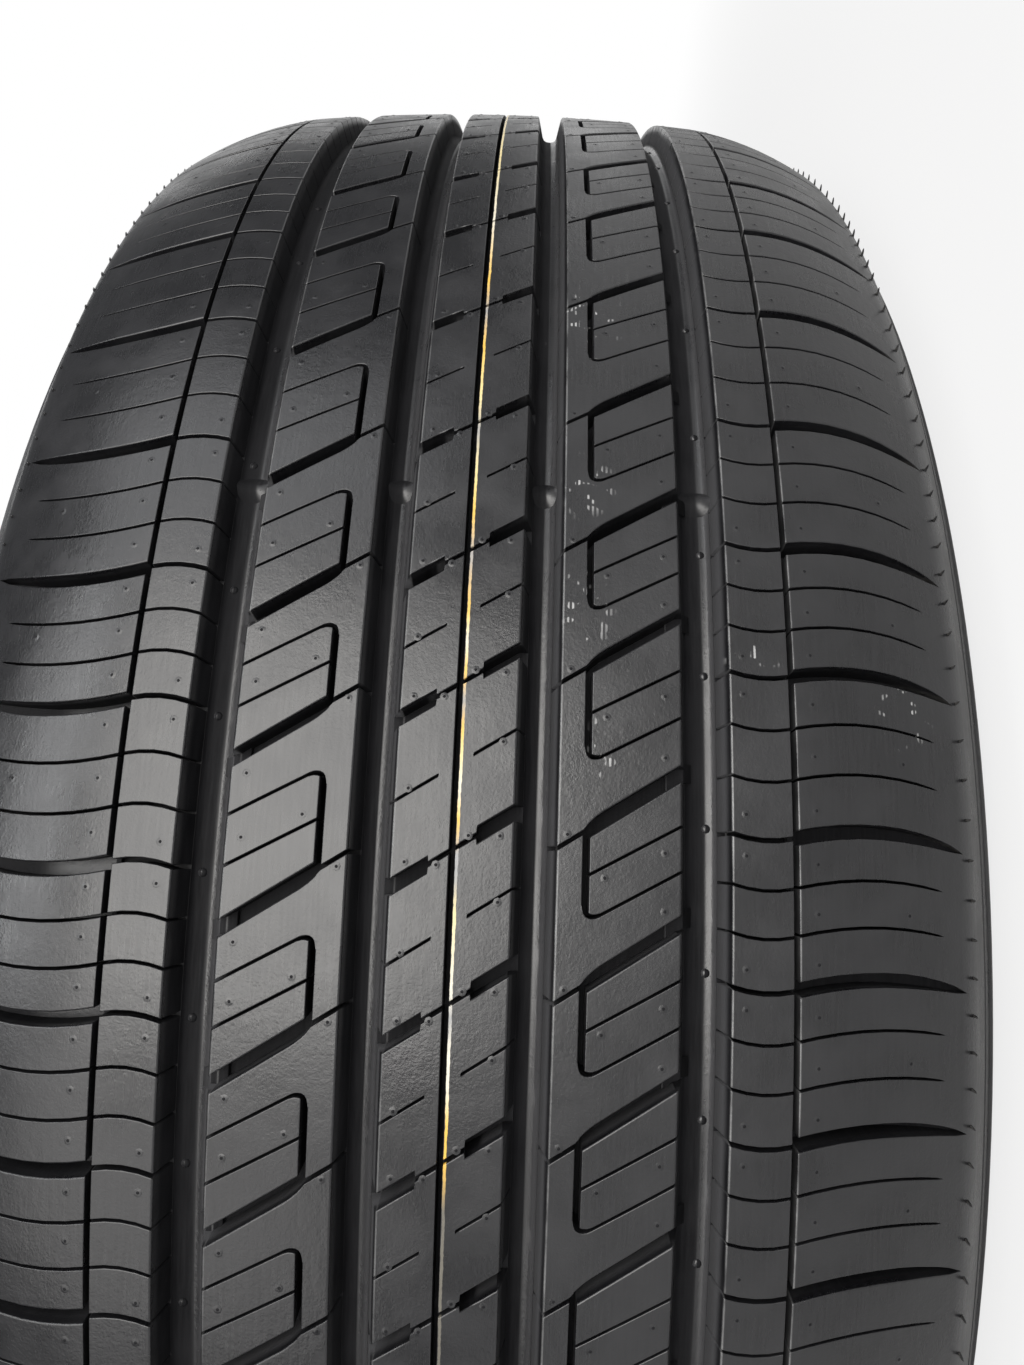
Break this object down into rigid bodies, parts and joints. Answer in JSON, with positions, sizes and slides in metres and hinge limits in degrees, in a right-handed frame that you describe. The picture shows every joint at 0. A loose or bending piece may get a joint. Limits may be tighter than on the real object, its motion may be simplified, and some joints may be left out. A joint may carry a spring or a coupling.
{
  "type": "car tyre",
  "caption": "Car tyre with four wide ring grooves, slanted cross grooves and two beads that seat on a rim; shown lying on its sidewall.",
  "frame": {"origin": "centre of the wheel: on the axle, midway between the two beads", "axes": "+Z along the axle; the tyre lies on its -Z sidewall"},
  "size_m": [0.6678, 0.6678, 0.238],
  "materials": {
    "tyre_rubber": "new black rubber with a soft sheen"
  },
  "bodies": {
    "root": {"tyre": "tyre_rubber"}
  },
  "joints": []
}
